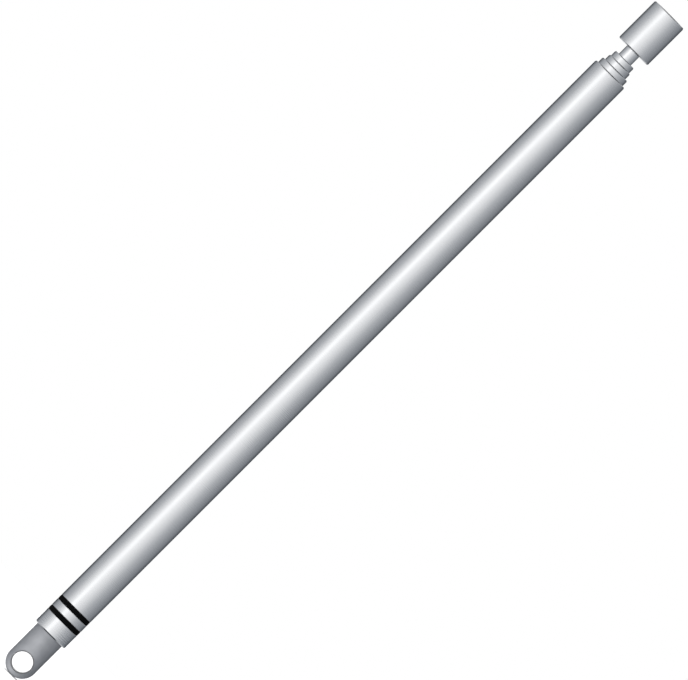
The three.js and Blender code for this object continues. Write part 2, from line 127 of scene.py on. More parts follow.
BORE_GAP = 2.5         # between a sliding tube and the bore round it
PACKING_STEP = 1.3     # how much wider that bore is round the packing
PACKING_DEPTH = 34.0   # how far down from the nut it is wider
FOOT_LIP = 8.0         # height of the lip at a sleeve's foot
FOOT_LIP_REACH = 3.0   # how far it reaches in under the next stage
FOOT_GROOVE = 1.0      # depth of the foot guide's groove
STOP_GROOVE = 1.2      # depth of the stop ring's groove
GUIDE_EDGE = 0.6
GUIDE_SWEEP = math.radians(358)    # the rest is the gap where its ends meet
STOP_ROUND_IN, STOP_ROUND_OUT = 0.6, 0.9
STOP_SWEEP = math.radians(354)
NUT_SKIRT = 7.95       # height of the part of a nut that screws over its sleeve
NUT_LIP = 2.0          # height of a nut's bore above the wiper's groove
NUT_BORE_GAP = 0.3
WIPER_GROOVE = 3.3
WIPER_GROOVE_HEIGHT = 5.0
WIPER_BACK = 0.7       # from the tip of the lip out to the heel's bore
WIPER_TIP = 0.6        # width of the tip
WIPER_TIP_RISE = 0.5   # the tip's slope, from its inner corner up to its top
WIPER_TIP_EDGE = 0.15
WIPER_SHOULDER = 1.2   # from the top down to the heel's upper face
WIPER_ROOT = 2.2       # from the top down to where the lip leaves the heel's bore
WIPER_LEAN = 0.2       # the lip's back starts this far outside the middle of the groove
SEAL_LIP = 1.1         # height of the slope on the outside of each of the U-cup's lips
SEAL_LIP_IN = 0.5      # width of that slope, of the slopes in the cup and of the step behind the inner lip
SEAL_LIP_RISE = 0.3    # height of the lips' inner corners above their tips
SEAL_CUP = 3.4         # depth of the cup
SEAL_CUP_CORNER = 0.4
SEAL_ROOT = 3.6        # height where the inner lip leaves the seal's bore
GUIDE_BUSH_EDGE = 0.8
OIL_GROOVES = (0.75, 0.5, 0.25)    # their places, as shares of the bush's height
OIL_GROOVE_DEPTH = 0.5
OIL_GROOVE_HALF = 1.0  # half its height
BARREL_MOUTH_R = 43.6
PIN_HOLE_DEPTH = 4.0
PIN_HOLE_R = 2.0       # or a third of the room for it, if that is less
PIN_HOLE_MOUTH = 0.3   # countersink
PIN_CUTTER_RISE = 0.2  # how far the countersink's cutter reaches past the face

PLUNGER_BORE_R = 13.0
LOAD_THREAD_R = 13.25
LOAD_THREAD_CREST = 1.7            # depth of the thread
LOAD_THREAD_MOUTH = 1.5
LOAD_THREAD_PITCH = 3.5
LOAD_THREAD_DEPTH = 45.0
LOAD_TIP = 7.0         # length of the drill's cone below the thread
LOAD_TIP_IN = 0.3      # how much smaller its radius is than the thread's
LOAD_TIP_TOP = 10.0    # top of its cutter above the tip, inside the thread
HEAD_ROW = 4.0         # a row this far outside the thread keeps its wear off the end face
STUD_R = 15.8
STUD_CREST = 1.2
STUD_PITCH = 2.0
STUD_NECK = 2.0        # plain length at the foot of the stud's thread
STUD_NECK_IN = 1.0
SET_SCREW_R = 4.0
SET_SCREW_CREST = 0.65
SET_SCREW_PITCH = 1.25
SET_SCREW_LENGTH = 30.0
SET_SCREW_SOCKET_R = 2.2
SET_SCREW_SOCKET_DEPTH = 4.0
SET_SCREW_SOCKET_CUTTER = 6.0
SET_SCREW_CUP_R = 2.4
SET_SCREW_CUP_DEPTH = 1.0
SET_SCREW_CUP_OUT = 0.2            # how far the cup's cutter reaches past the point
SET_SCREW_HOLE_FROM = 15.0         # from the head's axis: just inside the stud's socket
BLEED_BORE_R = 3.0
BLEED_BORE_END = 24.0  # this and the next are distances from the head's axis, with a cone between
BLEED_THREAD_FOOT = 26.0
BLEED_RECESS_R = 10.5
BLEED_SEAT_Y = 40.0
BLEED_CUTTER_OUT = 2.0             # how far the recess's cutter reaches past the head
BLEED_THREAD_R = 5.1
BLEED_CREST = 0.9
BLEED_PITCH = 1.0
BLEED_TIP_Y = 24.25
BLEED_HEX_R = 7.5
BLEED_HEX_HEIGHT = 5.5
BLEED_HEX_SINK = 0.01  # how far the hexagon reaches into its shank
# The cone that breaks the hexagon's corners: radius over the hexagon's own, and height.
BLEED_HEX_CONE = [(-0.6, -1.0), (0.6, 4.9), (-1.0, 5.4)]


def span(node):
    """Outer radius, foot and top of a turned CAD node, in millimetres."""
    low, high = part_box(node)
    return high.x / MM, low.z / MM, high.z / MM


# ------------------------------------------------------------------ mesh helpers

def broken_corner(before, here, after, reach_back, reach_ahead, steps):
    """Points of a chamfer (one step) or a rounding (more), no larger than its two edges allow."""
    back, ahead = before - here, after - here
    shrink = min(1, CORNER_SHARE * back.length / reach_back, CORNER_SHARE * ahead.length / reach_ahead)
    start = here + back.normalized() * reach_back * shrink
    end = here + ahead.normalized() * reach_ahead * shrink
    points = []
    for i in range(steps + 1):
        t = i / steps
        points.append(start * (1 - t) ** 2 + here * 2 * t * (1 - t) + end * t ** 2)
    return points


def outline_points(outline, steps, spacing):
    """Plain (radius, height) points of an outline.

    Its corners are (radius, height), with a chamfer's size after that, or its two sizes, back and ahead.
    Long runs get extra points near both ends and at the given spacing, so that shading stays local.
    """
    corners = [Vector(p[:2]) for p in outline]
    count = len(corners)
    points = []
    for i, corner in enumerate(outline):
        if len(corner) > 2 and corner[2] > 0:
            points += broken_corner(corners[i - 1], corners[i], corners[(i + 1) % count],
                                    corner[2], corner[-1], steps)
        else:
            points.append(corners[i])
    loop = outline[0][0] != 0
    spaced = []
    for i, here in enumerate(points):
        spaced.append(here)
        if i == len(points) - 1 and not loop:
            break
        run = points[(i + 1) % len(points)] - here
        if run.length > 3 * RUN_END:
            along = run.normalized()
            pieces = max(1, round((run.length - 2 * RUN_END) / spacing))
            for j in range(pieces + 1):
                spaced.append(here + along * (RUN_END + (run.length - 2 * RUN_END) * j / pieces))
    return [(p.x, p.y) for p in spaced]


def to_object(name, bm):
    bmesh.ops.recalc_face_normals(bm, faces=bm.faces)
    mesh = bpy.data.meshes.new(name)
    bm.to_mesh(mesh)
    bm.free()
    piece = bpy.data.objects.new(name, mesh)
    bpy.context.scene.collection.objects.link(piece)
    return piece


def revolve(name, radius_at, heights, sides, sweep=2 * math.pi, loop=False):
    """Sweeps rows of points round Z. radius_at(row, angle) gives a row's radius; 0 is a point on the axis."""
    full = sweep >= 2 * math.pi
    columns = sides if full else sides + 1
    bm = bmesh.new()
    on_axis = {}
    grid = []
    for i in range(columns):
        angle = sweep * i / sides
        column = []
        for row, height in enumerate(heights):
            radius = radius_at(row, angle)
            if radius == 0:
                if row not in on_axis:
                    on_axis[row] = bm.verts.new((0, 0, height * MM))
                column.append(on_axis[row])
            else:
                x, y = radius * MM * math.cos(angle), radius * MM * math.sin(angle)
                column.append(bm.verts.new((x, y, height * MM)))
        grid.append(column)
    rows = len(heights)
    for i in range(sides):
        here, there = grid[i], grid[(i + 1) % columns]
        for row in range(rows if loop else rows - 1):
            up = (row + 1) % rows
            corners = []
            for vert in (here[row], there[row], there[up], here[up]):
                if vert not in corners:
                    corners.append(vert)
            bm.faces.new(corners)
    if not full:
        bm.faces.new(grid[0])
        bm.faces.new(grid[-1])
    return to_object(name, bm)


def turned(name, outline, sides=SIDES, sweep=2 * math.pi, steps=1, spacing=FAR):
    """A lathe piece. The outline goes up the outside; it starts and ends on the axis, or closes on itself."""
    points = outline_points(outline, steps, spacing)
    return revolve(name, lambda row, angle: points[row][0], [p[1] for p in points], sides, sweep,
                   loop=outline[0][0] != 0)


def thread_height(turns):
    """Height of a thread, 0 to 1, at a place counted in turns: flat crests and roots, sloping flanks."""
    flat = 0.12
    u = abs(2 * (turns % 1) - 1)
    return min(1, max(0, (u - flat) / (1 - 2 * flat)))


def threaded_rod(name, core, crest, pitch, length, mouth=0, rows_per_turn=8, sides=SMALL_SIDES):
    """A rod along +Z with a helical thread. A mouth makes its top end a cone that opens outwards."""
    count = round(length / pitch * rows_per_turn)
    heights = [0] + [length * i / count for i in range(count + 1)] + [length]

    def radius_at(row, angle):
        if row in (0, count + 2):
            return 0
        height = heights[row]
        run_out = min(1, height / pitch)
        radius = core + (crest - core) * run_out * thread_height(height / pitch - angle / (2 * math.pi))
        return max(radius, crest + mouth - (length - height)) if mouth else radius

    return revolve(name, radius_at, heights, sides)


def plain_rod(name, radius, length, sides=SMALL_SIDES, edge=0):
    return turned(name, [(0, 0), (radius, 0, edge), (radius, length, edge), (0, length)], sides)


def place(piece, x=0, y=0, z=0, heading=None):
    """Moves a rod that stands along +Z. A heading, in degrees from +X towards +Y, first lays it that way."""
    turn = Matrix.Identity(4)
    if heading is not None:
        turn = Matrix.Rotation(math.radians(heading), 4, "Z") @ Matrix.Rotation(math.pi / 2, 4, "Y")
    piece.data.transform(Matrix.Translation(Vector((x, y, z)) * MM) @ turn)
    return piece


def boolean(piece, tools, operation):
    for tool in tools:
        step = piece.modifiers.new(operation.lower(), "BOOLEAN")
        step.operation = operation
        step.solver = "MANIFOLD"
        step.object = tool
    graph = bpy.context.evaluated_depsgraph_get()
    mesh = bpy.data.meshes.new_from_object(piece.evaluated_get(graph))
    bm = bmesh.new()
    bm.from_mesh(mesh)
    bmesh.ops.dissolve_degenerate(bm, edges=bm.edges, dist=SLIVER)
    bm.to_mesh(mesh)
    bm.free()
    piece.modifiers.clear()
    piece.data = mesh
    for tool in tools:
        bpy.data.objects.remove(tool)
    return piece


def cut(piece, *tools):
    return boolean(piece, tools, "DIFFERENCE")


# ------------------------------------------------------------------ materials

RINGS_ACROSS = 4         # how slowly turning marks change round a piece
SPREAD = (0.3, 0.7)      # what most of a noise's values lie between
WORN = (0.53, 0.6)       # pointiness where an edge starts to be worn, and where it is bare
BARE_STEEL = (0.9, 0.9, 0.9)
UPRIGHT = (0.3, 0.6)     # steepness of the normal where a side stops being upright, and where it is level


class Tree:
    """Short calls for the nodes that the materials and the world share."""

    def __init__(self, tree):
        self.tree = tree

    def add(self, kind, **settings):
        node = self.tree.nodes.new(kind)
        for key, value in settings.items():
            setattr(node, key, value)
        return node

    def join(self, source, socket):
        self.tree.links.new(source, socket)

    def fill(self, sockets, values):
        """Sets each socket to its number, or joins it to its value's output."""
        for socket, value in zip(sockets, values):
            if isinstance(value, (int, float)):
                socket.default_value = value
            else:
                self.join(value, socket)

    def split(self, vector):
        node = self.add("ShaderNodeSeparateXYZ")
        self.join(vector, node.inputs["Vector"])
        return node.outputs

    def math(self, operation, *values):
        node = self.add("ShaderNodeMath", operation=operation)
        self.fill(node.inputs, values)
        return node.outputs["Value"]

    def range(self, value, low, high, to_low=0, to_high=1, **settings):
        node = self.add("ShaderNodeMapRange", **settings)
        names = ("Value", "From Min", "From Max", "To Min", "To Max")
        self.fill([node.inputs[name] for name in names], (value, low, high, to_low, to_high))
        return node.outputs["Result"]

    def blend(self, factor, first, second):
        """Mixes two colours; each is an (r, g, b) or another node's result."""
        node = self.add("ShaderNodeMix", data_type="RGBA")
        self.join(factor, node.inputs["Factor"])
        for name, colour in (("A", first), ("B", second)):
            socket = [s for s in node.inputs if s.name == name and s.type == "RGBA"][0]
            if isinstance(colour, tuple):
                socket.default_value = (*colour, 1)
            else:
                self.join(colour, socket)
        return [s for s in node.outputs if s.type == "RGBA"][0]


class Graph(Tree):
    """A material's nodes, with short calls for the textures that the finishes share."""

    def __init__(self, name):
        self.material = bpy.data.materials.new(name)
        self.material.use_nodes = True
        super().__init__(self.material.node_tree)
        self.shader = self.tree.nodes["Principled BSDF"]
        self.place = self.add("ShaderNodeTexCoord").outputs["Object"]

    def stretched(self, x, y, z):
        mapping = self.add("ShaderNodeMapping")
        mapping.inputs["Scale"].default_value = (x, y, z)
        self.join(self.place, mapping.inputs["Vector"])
        return mapping.outputs["Vector"]

    def lathed(self, lines, axis="Z"):
        """Coordinates whose noise makes fine rings round an axis, on the sides and on the end faces alike."""
        place = self.split(self.place)
        others = [place[name] for name in "XYZ" if name != axis]
        squares = [self.math("MULTIPLY", other, other) for other in others]
        radius = self.math("SQRT", self.math("ADD", *squares))
        along = self.math("MULTIPLY", self.math("ADD", place[axis], radius), lines)
        merge = self.add("ShaderNodeCombineXYZ")
        self.fill(merge.inputs, [self.math("MULTIPLY", other, RINGS_ACROSS) for other in others] + [along])
        return merge.outputs["Vector"]

    def sides_only(self):
        """1 on upright surfaces, 0 on level ones."""
        normal = self.split(self.add("ShaderNodeNewGeometry").outputs["Normal"])
        return self.range(self.math("ABSOLUTE", normal["Z"]), *UPRIGHT, 1, 0)

    def noise(self, vector, scale=1.0, detail=3.0, roughness=0.5):
        node = self.add("ShaderNodeTexNoise")
        node.inputs["Scale"].default_value = scale
        node.inputs["Detail"].default_value = detail
        node.inputs["Roughness"].default_value = roughness
        self.join(vector, node.inputs["Vector"])
        return node.outputs["Fac"]

    def spread(self, texture, low, high):
        """Carries a texture's usual values over to low and high."""
        return self.range(texture, *SPREAD, low, high)

    def edges(self, low=WORN[0], high=WORN[1]):
        """1 on worn convex edges, 0 elsewhere."""
        return self.range(self.add("ShaderNodeNewGeometry").outputs["Pointiness"], low, high)

    def result(self, colour, roughness, height, depth, metallic=0.0, **sockets):
        self.join(colour, self.shader.inputs["Base Color"])
        self.join(roughness, self.shader.inputs["Roughness"])
        self.shader.inputs["Metallic"].default_value = metallic
        for name, value in sockets.items():
            self.shader.inputs[name.replace("_", " ")].default_value = value
        bump = self.add("ShaderNodeBump")
        bump.inputs["Distance"].default_value = depth
        self.join(height, bump.inputs["Height"])
        self.join(bump.outputs["Normal"], self.shader.inputs["Normal"])
        return self.material


def turned_metal(name, light, dark, roughness, lines=1200.0, depth=4e-6, worn=BARE_STEEL, axis="Z"):
    """Metal off the lathe: fine rings round the axis, soft patches from handling, a few long scratches."""
    g = Graph(name)
    rings = g.noise(g.lathed(lines, axis), detail=4)
    patches = g.noise(g.place, scale=7, detail=5, roughness=0.6)
    scratches = g.range(g.noise(g.stretched(420, 420, 5), detail=2), 0.66, 0.74)
    scratches = g.math("MULTIPLY", scratches, g.sides_only())
    tone = g.math("ADD", g.math("MULTIPLY", rings, 0.4), g.math("MULTIPLY", patches, 0.6))
    colour = g.blend(g.range(tone, 0.35, 0.65), dark, light)
    colour = g.blend(g.edges(), colour, worn)
    rough = g.math("ADD", g.spread(patches, roughness - 0.05, roughness + 0.05),
                   g.spread(rings, -0.03, 0.03))
    rough = g.math("ADD", rough, g.math("MULTIPLY", scratches, 0.08))
    height = g.math("SUBTRACT", rings, g.math("MULTIPLY", scratches, 0.6))
    return g.result(colour, rough, height, depth, metallic=1.0)


def forged_steel():
    """The lug: machined from a forging, dull, with a fine grain and darker, oily patches."""
    g = Graph("forged_steel")
    grain = g.noise(g.place, scale=900, detail=3, roughness=0.6)
    rings = g.noise(g.stretched(6, 6, 700), detail=3)
    patches = g.noise(g.place, scale=16, detail=6, roughness=0.62)
    colour = g.blend(g.range(patches, 0.32, 0.68), (0.395, 0.405, 0.427), (0.48, 0.49, 0.516))
    colour = g.blend(g.edges(), colour, (0.66, 0.665, 0.68))
    rough = g.math("ADD", g.spread(patches, 0.53, 0.44), g.spread(grain, -0.04, 0.04))
    height = g.math("ADD", g.math("MULTIPLY", grain, 0.7), g.math("MULTIPLY", rings, 0.5))
    return g.result(colour, rough, height, 1.2e-5, metallic=0.84)


def zinced_steel():
    """Screws and stud: zinc plate with a faint cold spangle."""
    g = Graph("zinced_steel")
    cells = g.add("ShaderNodeTexVoronoi")
    cells.inputs["Scale"].default_value = 260
    g.join(g.place, cells.inputs["Vector"])
    spangle = cells.outputs["Distance"]
    haze = g.noise(g.place, scale=120, detail=4)
    colour = g.blend(g.range(spangle, 0, 0.7), (0.66, 0.69, 0.73), (0.54, 0.55, 0.57))
    rough = g.spread(haze, 0.28, 0.42)
    return g.result(colour, rough, haze, 6e-6, metallic=1.0)


def bronze():
    """Bearing bronze, turned, browner where oil has stood."""
    g = Graph("bronze")
    rings = g.noise(g.stretched(5, 5, 1500), detail=3)
    stain = g.noise(g.place, scale=40, detail=5, roughness=0.6)
    colour = g.blend(g.range(stain, 0.38, 0.66), (0.66, 0.42, 0.18), (0.33, 0.19, 0.08))
    rough = g.math("ADD", g.spread(stain, 0.28, 0.46), g.spread(rings, -0.04, 0.04))
    return g.result(colour, rough, rings, 5e-6, metallic=1.0)


def black_rubber():
    """Moulded rubber: matt and black, with a fine grain and a little dust."""
    g = Graph("black_rubber")
    grain = g.noise(g.place, scale=1400, detail=3, roughness=0.6)
    bloom = g.noise(g.place, scale=28, detail=6, roughness=0.65)
    colour = g.blend(g.range(bloom, 0.45, 0.75), (0.002, 0.002, 0.0021), (0.004, 0.004, 0.0043))
    rough = g.math("ADD", g.spread(bloom, 0.72, 0.86), g.spread(grain, -0.05, 0.05))
    return g.result(colour, rough, grain, 3e-5, Specular_IOR_Level=0.05)


def seal_polyurethane():
    """Seals and wipers: blue polyurethane with mould flow in it."""
    g = Graph("seal_polyurethane")
    flow = g.noise(g.stretched(30, 30, 120), detail=4)
    grain = g.noise(g.place, scale=1100, detail=2)
    colour = g.blend(g.range(flow, 0.35, 0.65), (0.02, 0.085, 0.25), (0.04, 0.14, 0.34))
    rough = g.math("ADD", g.spread(flow, 0.34, 0.46), g.spread(grain, -0.03, 0.03))
    return g.result(colour, rough, grain, 8e-6, Specular_IOR_Level=0.4)


def guide_resin():
    """Foot guides: resin with a cotton weave in it, machined to size."""
    g = Graph("guide_resin")
    threads = []
    for direction in ("DIAGONAL", "Z"):
        wave = g.add("ShaderNodeTexWave", bands_direction=direction)
        wave.inputs["Scale"].default_value = 260
        wave.inputs["Distortion"].default_value = 1.2
        g.join(g.place, wave.inputs["Vector"])
        threads.append(wave.outputs["Fac"])
    weave = g.math("MULTIPLY", *threads)
    shade = g.noise(g.place, scale=60, detail=4)
    colour = g.blend(g.range(weave, 0.1, 0.7), (0.17, 0.075, 0.03), (0.34, 0.19, 0.085))
    rough = g.math("ADD", g.spread(shade, 0.5, 0.62), g.range(weave, 0, 1, 0.04, -0.04))
    return g.result(colour, rough, weave, 2e-5)


def spring_steel():
    """Stop rings: hardened spring steel with an oily black finish, bright where it rubs."""
    g = Graph("spring_steel")
    oil = g.noise(g.place, scale=70, detail=5, roughness=0.6)
    colour = g.blend(g.range(oil, 0.35, 0.7), (0.055, 0.058, 0.07), (0.13, 0.13, 0.14))
    colour = g.blend(g.edges(0.52, 0.58), colour, (0.42, 0.42, 0.43))
    rough = g.spread(oil, 0.32, 0.5)
    return g.result(colour, rough, oil, 8e-6, metallic=1.0)


FINISHES = {
    "bright_steel": turned_metal("bright_steel", (0.83, 0.84, 0.855), (0.78, 0.79, 0.807), 0.27),
    "hard_chrome": turned_metal("hard_chrome", (0.87, 0.88, 0.895), (0.83, 0.84, 0.857), 0.17,
                                lines=2200.0, depth=1.5e-6),
    "forged_steel": forged_steel(),
    "hardened_steel": turned_metal("hardened_steel", (0.17, 0.172, 0.18), (0.11, 0.112, 0.118), 0.34,
                                   lines=1500.0, worn=(0.3, 0.3, 0.31), axis="Y"),
    "spring_steel": spring_steel(),
    "zinced_steel": zinced_steel(),
    "bronze": bronze(),
    "black_rubber": black_rubber(),
    "seal_polyurethane": seal_polyurethane(),
    "guide_resin": guide_resin(),
}

NODE_SLOT = {row["node"]: row["material_slot"] for row in frame["record"]["subparts"]}
BODIES = frame["record"]["behaviour"]["bodies"]
NODE_BODY = {node: body for body, nodes in BODIES.items() for node in nodes}


def install(piece, node):
    """Puts a finished piece in the place of its CAD node: same body, same slot, that slot's material."""
    slot = NODE_SLOT[node]
    piece.name = piece.data.name = node + "_finished"
    piece.data.materials.clear()
    piece.data.materials.append(FINISHES[slot])
    piece.data.shade_smooth()
    piece.data.set_sharp_from_angle(angle=SHARP)
    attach(piece, NODE_BODY[node])
    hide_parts(node)


# ------------------------------------------------------------------ base end

EYE_R, EYE_FOOT, SHANK_TOP = span("base_eye")
BARREL_R, BARREL_FOOT, BARREL_TOP = span("barrel_tube")
_, CAP_FOOT, SPIGOT_TOP = span("base_cap")
_, LOWER_BAND_FOOT, _ = span("lower_band")
_, RING_FOOT, RING_TOP = span("lock_ring")
_, _, UPPER_BAND_TOP = span("upper_band")
PORT_FACE = [Vector(m["pos_m"]) for m in frame["record"]["mounts"] if m["name"] == "oil_port_face"][0]
PORT_Z = PORT_FACE.z / MM
SPOT_FACE_Y = PORT_FACE.y / MM
BUSH_R = span("eye_bush")[0]


def mill_end(piece):
    """Turns the dome at the foot of a bar into an end that is rounded about the pin, with soft corners."""
    for vert in piece.data.vertices:
        x, y, z = vert.co
        if z < 0:
            across = (abs(y) ** EYE_CORNER + abs(z) ** EYE_CORNER) ** (1 / EYE_CORNER)
            vert.co *= EYE_R * MM / math.hypot(x, across)


def base_eye():
    dome = []
    for i in range(1, EYE_END_ROWS):
        angle = math.pi / 2 * i / EYE_END_ROWS
        dome.append((EYE_R * math.sin(angle), -EYE_R * math.cos(angle)))
    shoulder = CAP_FOOT - SEAT_GAP
    bar = turned("base_eye", [
        (0, EYE_FOOT), *dome, (EYE_R, 0), (EYE_R, shoulder, EDGE), (SHANK_R, shoulder),
        (SHANK_R, SHANK_TOP, EDGE), (0, SHANK_TOP)], spacing=EYE_ROWS)
    mill_end(bar)
    bore = plain_rod("bore", BUSH_R + BAND_GAP, 3 * EYE_R, SIDES)
    install(cut(bar, place(bore, y=-1.5 * EYE_R, heading=90)), "base_eye")


def eye_bush():
    """A plain bush with a grease groove round the middle of its bore."""
    inner, half = BUSH_R - EYE_BUSH_WALL, EYE_R
    floor = inner + GREASE_DEPTH
    bush = turned("eye_bush", [
        (inner, -half, EDGE), (BUSH_R, -half, EDGE), (BUSH_R, half, EDGE), (inner, half, EDGE),
        (inner, GREASE_HALF), (floor, GREASE_FLOOR_HALF, GREASE_CORNER),
        (floor, -GREASE_FLOOR_HALF, GREASE_CORNER), (inner, -GREASE_HALF)])
    install(place(bush, heading=90), "eye_bush")


def port_cutters():
    """The G3/8 port with its thread, the drilling behind it, and the spot face round it."""
    thread = threaded_rod("thread", PORT_R, PORT_R + PORT_CREST, PORT_PITCH, PORT_THREAD_DEPTH,
                          mouth=PORT_MOUTH)
    drilling = plain_rod("drilling", PORT_DRILL_R, SPOT_FACE_Y)
    spot = turned("spot", [(0, 0), (PORT_R + SPOT_FACE_ROW, 0), (SPOT_FACE_R, 0, EDGE),
                           (SPOT_FACE_R, SPOT_CUTTER_HEIGHT), (0, SPOT_CUTTER_HEIGHT)], DRILL_SIDES)
    return (place(spot, y=SPOT_FACE_Y, z=PORT_Z, heading=90),
            place(drilling, y=PORT_DRILL_Y, z=PORT_Z, heading=90),
            place(thread, y=SPOT_FACE_Y - PORT_THREAD_DEPTH + OVERCUT, z=PORT_Z, heading=90))


def base_cap():
    seat, cap_top = BARREL_R - BAND_SEAT, LOWER_BAND_FOOT - BAND_GAP
    ring_seat = RING_FOOT - SEAT_GAP
    _, groove_foot, groove_top = span("base_seal_ring")
    socket, socket_top = SHANK_R + BAND_GAP, SHANK_TOP + SEAT_GAP
    body = turned("base_cap", [
        (0, socket_top), (socket, socket_top), (socket, CAP_FOOT, EDGE), (BARREL_R, CAP_FOOT, FOOT_EDGE),
        (BARREL_R, cap_top, EDGE), (seat, cap_top), (seat, ring_seat, EDGE), (SPIGOT_THREAD_R, ring_seat),
        (SPIGOT_THREAD_R, SPIGOT_THREAD_TOP, WIDE_EDGE), (SPIGOT_R, SPIGOT_THREAD_TOP),
        (SPIGOT_R, groove_foot - BAND_GAP), (SEAL_GROOVE_R, groove_foot - BAND_GAP),
        (SEAL_GROOVE_R, groove_top + BAND_GAP), (SPIGOT_R, groove_top + BAND_GAP),
        (SPIGOT_R, SPIGOT_TOP, LEAD, LEAD_IN), (GALLERY_R, SPIGOT_TOP, EDGE),
        (GALLERY_R, GALLERY_FOOT), (0, GALLERY_FOOT)], spacing=CLOSE)
    install(cut(body, *port_cutters()), "base_cap")


def lock_ring():
    inner = SPIGOT_THREAD_R + SEAT_GAP
    body = turned("lock_ring", [(inner, RING_FOOT, EDGE), (BARREL_R, RING_FOOT, EDGE),
                                (BARREL_R, RING_TOP, EDGE), (inner, RING_TOP, EDGE)], spacing=CLOSE)
    hole = plain_rod("hole", HOOK_HOLE_R, 2 * HOOK_HOLE_R)
    middle = (RING_FOOT + RING_TOP) / 2
    install(cut(body, place(hole, y=BARREL_R - HOOK_HOLE_R, z=middle, heading=90)), "lock_ring")


def rubber_band(node):
    """Slightly crowned, with rounded corners."""
    outer, foot, top = span(node)
    inner, corner, crown = BARREL_R - BAND_SEAT + BAND_GAP, outer - BAND_SHOULDER, outer - BAND_CROWN
    quarter = (top - foot) / 4
    install(turned(node, [
        (inner, foot, EDGE), (corner, foot, BAND_ROUND), (crown, foot + quarter), (outer, (foot + top) / 2),
        (crown, top - quarter), (corner, top, BAND_ROUND), (inner, top, EDGE)], steps=SOFT), node)


def base_seal_ring():
    """An O-ring squeezed oval in its groove."""
    outer, foot, top = span("base_seal_ring")
    wide, high = (outer - SEAL_GROOVE_R - BAND_GAP) / 2, (top - foot) / 2
    oval = []
    for i in range(RING_POINTS):
        angle = 2 * math.pi * i / RING_POINTS - math.pi / 2
        oval.append((outer - wide + wide * math.cos(angle), foot + high + high * math.sin(angle)))
    install(turned("base_seal_ring", oval), "base_seal_ring")


base_eye()
eye_bush()
base_cap()
rubber_band("lower_band")
lock_ring()
rubber_band("upper_band")
base_seal_ring()

# ------------------------------------------------------------------ packing, shared by barrel and sleeves


def wiper(node, shaft):
    """A dirt wiper: a heel in the groove and a lip that leans up and in to the shaft."""
    outer, foot, top = span(node)
    inner, middle = shaft + SEAT_GAP, (shaft + outer) / 2
    heel, shoulder = inner + WIPER_BACK, top - WIPER_SHOULDER
    install(turned(node, [
        (heel, foot, FINE_EDGE), (outer, foot, FINE_EDGE), (outer, shoulder, FINE_EDGE),
        (middle + WIPER_LEAN, shoulder, FINE_EDGE), (inner + WIPER_TIP, top, WIPER_TIP_EDGE),
        (inner, top - WIPER_TIP_RISE, WIPER_TIP_EDGE), (heel, top - WIPER_ROOT, FINE_EDGE)],
        steps=SOFT), node)


def rod_seal(node, shaft):
    """A U-cup that opens downwards, to the oil."""
    outer, foot, top = span(node)
    inner, middle = shaft + SEAT_GAP, (shaft + SEAT_GAP + outer) / 2
    side, inside, back = foot + SEAL_LIP, foot + SEAL_LIP_RISE, inner + SEAL_LIP_IN
    install(turned(node, [
        (inner, side, NICK), (back, foot, NICK), (middle - SEAL_LIP_IN, inside, NICK),
        (middle, foot + SEAL_CUP, SEAL_CUP_CORNER), (middle + SEAL_LIP_IN, inside, NICK),
        (outer - SEAL_LIP_IN, foot, NICK), (outer, side, NICK), (outer, top, EDGE), (back, top, EDGE),
        (back, foot + SEAL_ROOT, EDGE)], steps=SOFT), node)


def guide_bush(node, shaft):
    """A bronze bush with chamfered ends and three oil grooves round its bore."""
    outer, foot, top = span(node)
    inner, edge = shaft + SEAT_GAP, GUIDE_BUSH_EDGE
    floor = inner + OIL_GROOVE_DEPTH
    outline = [(inner, foot, edge), (outer, foot, edge), (outer, top, edge), (inner, top, edge)]
    for share in OIL_GROOVES:
        middle = foot + share * (top - foot)
        high, low = middle + OIL_GROOVE_HALF, middle - OIL_GROOVE_HALF
        outline += [(inner, high), (floor, high, FINE_EDGE), (floor, low, FINE_EDGE), (inner, low)]
    install(turned(node, outline), node)


def packing(name, shaft):
    wiper(name + "_wiper", shaft)
    rod_seal(name + "_rod_seal", shaft)
    guide_bush(name + "_guide_bush", shaft)


def wiper_groove(shaft, top):
    """A nut's bore from its top face down past the wiper's groove."""
    bore, floor, lip = shaft + NUT_BORE_GAP, shaft + WIPER_GROOVE, top - NUT_LIP
    return [(bore, top, EDGE), (bore, lip, NICK), (floor, lip), (floor, lip - WIPER_GROOVE_HEIGHT),
            (bore, lip - WIPER_GROOVE_HEIGHT, NICK)]


def pin_holes(inner, outer, top):
    """Cutters for the four pin-spanner holes in a nut's top face."""
    radius, circle = min(PIN_HOLE_R, (outer - inner) / 3), (inner + outer) / 2
    flare = PIN_HOLE_MOUTH + PIN_CUTTER_RISE
    rise = PIN_HOLE_DEPTH + PIN_CUTTER_RISE
    holes = []
    for quarter in range(4):
        angle = math.pi / 4 + quarter * math.pi / 2
        hole = turned("hole", [(0, 0), (radius, 0), (radius, PIN_HOLE_DEPTH - PIN_HOLE_MOUTH),
                               (radius + flare, rise), (0, rise)], PIN_SIDES)
        holes.append(place(hole, circle * math.cos(angle), circle * math.sin(angle), top - PIN_HOLE_DEPTH))
    return holes


# ------------------------------------------------------------------ barrel

STAGES = ("stage_1", "stage_2", "stage_3", "plunger")
STAGE_R = [span(stage + "_foot_guide")[0] + SEAT_GAP - BORE_GAP for stage in STAGES]
NUT_R = [span(stage + "_gland_nut")[0] for stage in STAGES[:3]] + [STAGE_R[3]]


